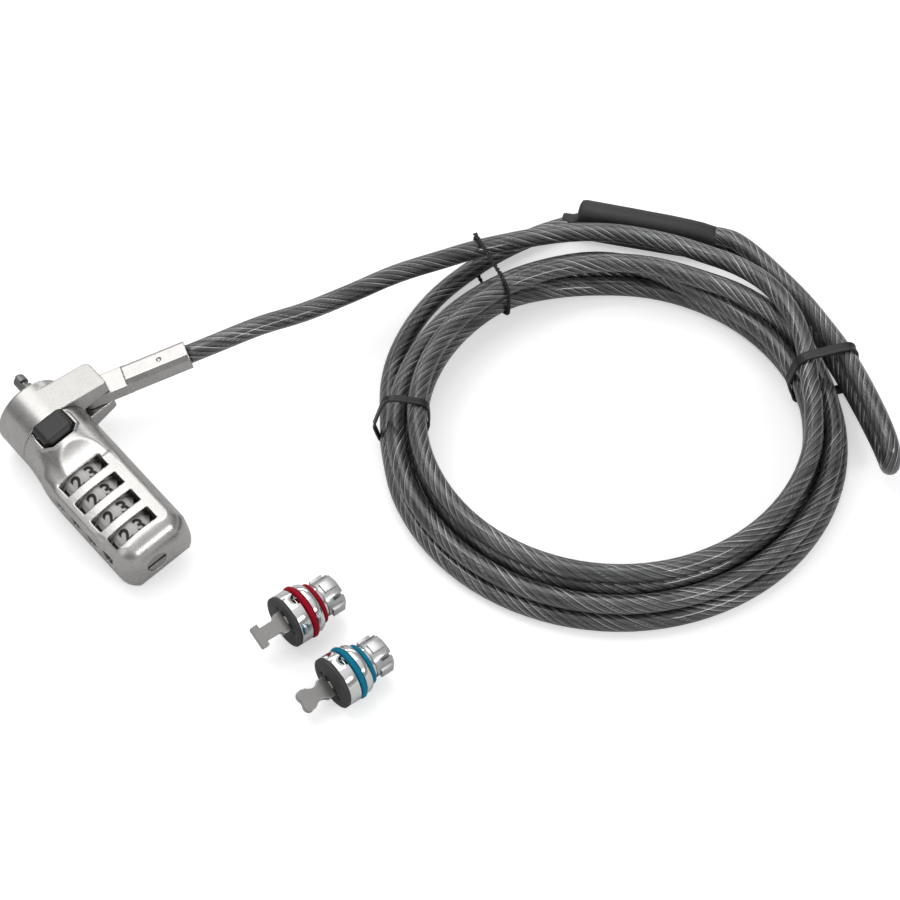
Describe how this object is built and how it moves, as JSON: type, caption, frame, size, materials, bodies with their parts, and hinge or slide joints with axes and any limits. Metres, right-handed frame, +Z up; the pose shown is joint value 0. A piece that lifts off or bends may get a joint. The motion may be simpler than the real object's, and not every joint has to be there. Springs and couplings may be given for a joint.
{
  "type": "laptop cable lock",
  "caption": "Keyless combination cable lock for laptops: swivelling head with locking pin, coiled coated cable with an eye, and loose slot adapters.",
  "frame": {"origin": "centre of the locking pin where it leaves the head rear face", "axes": "+X runs out along the locking pin, +Z up from the table the parts lie on, the cable leaves towards -Y"},
  "size_m": [0.1649, 0.1962, 0.0235],
  "materials": {
    "zinc": "satin plated casting",
    "steel": "turned",
    "dark_steel": "dark turned steel",
    "spring_steel": "spring steel",
    "brass": "turned",
    "chrome": "polished",
    "dial_white": "silver-grey, black numerals",
    "black_plastic": "fine grain",
    "cable": "smoke coating over grey strands",
    "sleeve_black": "black shrink sleeve",
    "tie_black": "black coated",
    "washer_rubber": "black rubber",
    "red_rubber": "dark red rubber",
    "blue_rubber": "teal blue rubber"
  },
  "bodies": {
    "cable": {"end_fitting": "zinc", "cable_lead": "cable", "cable_coil": "cable", "cable_tail": "cable", "eye_sleeve": "sleeve_black", "cable_eye": "cable", "twist_tie": "tie_black", "band_left": "tie_black", "band_right": "tie_black", "red_washer": "washer_rubber", "red_front_sleeve": "chrome", "red_rear_sleeve": "chrome", "red_large_ring": "red_rubber", "red_small_ring": "red_rubber", "red_socket": "steel", "blue_washer": "washer_rubber", "blue_front_sleeve": "chrome", "blue_rear_sleeve": "chrome", "blue_large_ring": "blue_rubber", "blue_small_ring": "blue_rubber", "blue_socket": "steel"},
    "collar": {"swivel_collar": "zinc", "hinge_pin": "steel"},
    "lock": {"lock_body": "zinc", "swivel_core": "steel", "rear_cap": "steel", "locking_pin": "dark_steel", "dial_retainer": "steel", "dial_spacer_1": "steel", "dial_spacer_2": "steel", "dial_spacer_3": "steel", "detent_spring": "spring_steel", "button_spring": "spring_steel", "latch_spring": "spring_steel"},
    "dial_1": {"dial_ring_1": "dial_white", "code_hub_1": "brass"},
    "dial_2": {"dial_ring_2": "dial_white", "code_hub_2": "brass"},
    "dial_3": {"dial_ring_3": "dial_white", "code_hub_3": "brass"},
    "dial_4": {"dial_ring_4": "dial_white", "code_hub_4": "brass"},
    "button": {"release_button": "black_plastic"},
    "latch": {"pin_wedge": "dark_steel", "latch_slider": "steel", "spindle": "steel"},
    "reset": {"reset_screw": "dark_steel"},
    "red_bar": {"red_bar": "steel"},
    "blue_bar": {"blue_bar": "steel"}
  },
  "joints": [
    {"name": "head_hinge", "type": "hinge", "parent": "cable", "child": "collar", "pos_m": [-0.0072, -0.01173, -0.00037], "axis": [0, 0.225, 0.9744], "range_deg": [-99, 61]},
    {"name": "head_swivel", "type": "hinge", "parent": "collar", "child": "lock", "pos_m": [-0.006, 0.00202, -0.00303], "axis": [1, 0, 0], "continuous": true},
    {"name": "dial_1_turn", "type": "hinge", "parent": "lock", "child": "dial_1", "pos_m": [-0.0304, 0.00439, -0.00389], "axis": [1, 0, 0], "continuous": true},
    {"name": "dial_2_turn", "type": "hinge", "parent": "lock", "child": "dial_2", "pos_m": [-0.0374, 0.00439, -0.00389], "axis": [1, 0, 0], "continuous": true},
    {"name": "dial_3_turn", "type": "hinge", "parent": "lock", "child": "dial_3", "pos_m": [-0.0444, 0.00439, -0.00389], "axis": [1, 0, 0], "continuous": true},
    {"name": "dial_4_turn", "type": "hinge", "parent": "lock", "child": "dial_4", "pos_m": [-0.0514, 0.00439, -0.00389], "axis": [1, 0, 0], "continuous": true},
    {"name": "button_press", "type": "slide", "parent": "lock", "child": "button", "axis": [0, -0.225, -0.9744], "range_m": [0, 0.0015], "stiffness_N_per_m": 800, "springref_m": -0.0005, "deforming": ["button_spring"]},
    {"name": "latch_slide", "type": "slide", "parent": "lock", "child": "latch", "axis": [-1, 0, 0], "range_m": [0, 0.0015], "stiffness_N_per_m": 300, "springref_m": -0.0005, "deforming": ["latch_spring"]},
    {"name": "reset_turn", "type": "hinge", "parent": "lock", "child": "reset", "pos_m": [-0.057, 0.00439, -0.00389], "axis": [1, 0, 0], "range_deg": [0, 90]},
    {"name": "red_bar_turn", "type": "hinge", "parent": "cable", "child": "red_bar", "pos_m": [-0.09326, -0.0121, -0.0041], "axis": [0, 1, 0], "range_deg": [0, 90]},
    {"name": "blue_bar_turn", "type": "hinge", "parent": "cable", "child": "blue_bar", "pos_m": [-0.11364, -0.0103, -0.00736], "axis": [0, 1, 0], "range_deg": [0, 90]}
  ],
  "couplings": [
    {"joint": "latch_slide", "follows": "button_press", "ratio": 1}
  ]
}
